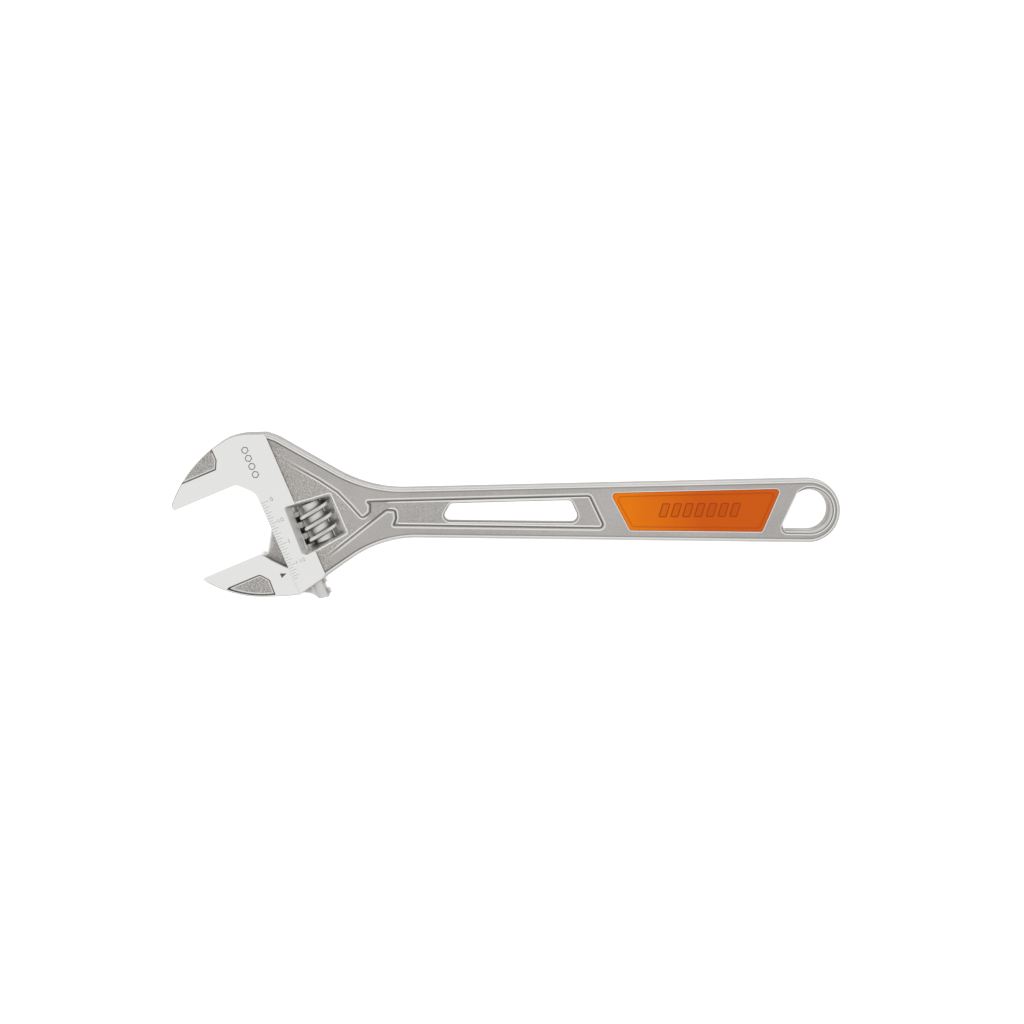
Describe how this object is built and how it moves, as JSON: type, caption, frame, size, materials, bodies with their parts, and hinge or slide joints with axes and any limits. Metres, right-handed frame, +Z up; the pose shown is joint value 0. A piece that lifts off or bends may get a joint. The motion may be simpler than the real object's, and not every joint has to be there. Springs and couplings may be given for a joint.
{
  "type": "adjustable wrench",
  "caption": "Adjustable wrench with a fixed and a sliding jaw, a worm that moves the jaw, a slotted handle with plastic inlays and a hanging hole.",
  "frame": {"origin": "middle of the bottom of the whole wrench's box as stored, lying flat", "axes": "+Z up through the thickness, +X along the handle towards the hanging hole, +Y towards the fixed jaw's back; the jaws slide along (-0.383, 0.924, 0)"},
  "size_m": [0.375, 0.0938, 0.02],
  "materials": {
    "body_steel": "forged alloy steel with satin chrome plating, bright ground faces and a grainy sunk web",
    "jaw_steel": "forged alloy steel with bright ground faces and grainy sunk panels",
    "worm_steel": "plated steel with a fine knurl on the thread's crest",
    "pin_steel": "plain turned steel",
    "spring_steel": "drawn spring wire",
    "inlay_plastic": "glossy orange moulded plastic with a raised border",
    "adhesive_film": "translucent mounting film"
  },
  "bodies": {
    "handle_and_fixed_jaw": {"body": "body_steel", "worm_pin": "pin_steel", "worm_spring": "spring_steel", "front_inlay": "inlay_plastic", "rear_inlay": "inlay_plastic", "front_inlay_adhesive": "adhesive_film", "rear_inlay_adhesive": "adhesive_film"},
    "sliding_jaw": {"movable_jaw": "jaw_steel"},
    "adjusting_worm": {"worm": "worm_steel"}
  },
  "joints": [
    {"name": "jaw_slide", "type": "slide", "parent": "handle_and_fixed_jaw", "child": "sliding_jaw", "axis": [-0.3827, 0.9239, 0], "range_m": [-0.0034, 0.0409]},
    {"name": "worm_spin", "type": "hinge", "parent": "handle_and_fixed_jaw", "child": "adjusting_worm", "pos_m": [-0.10614, -0.0034, 0.01], "axis": [-0.3827, 0.9239, 0], "range_deg": [-2216, 186]}
  ],
  "couplings": [
    {"joint": "worm_spin", "follows": "jaw_slide", "rad_per_m": -944.84}
  ]
}
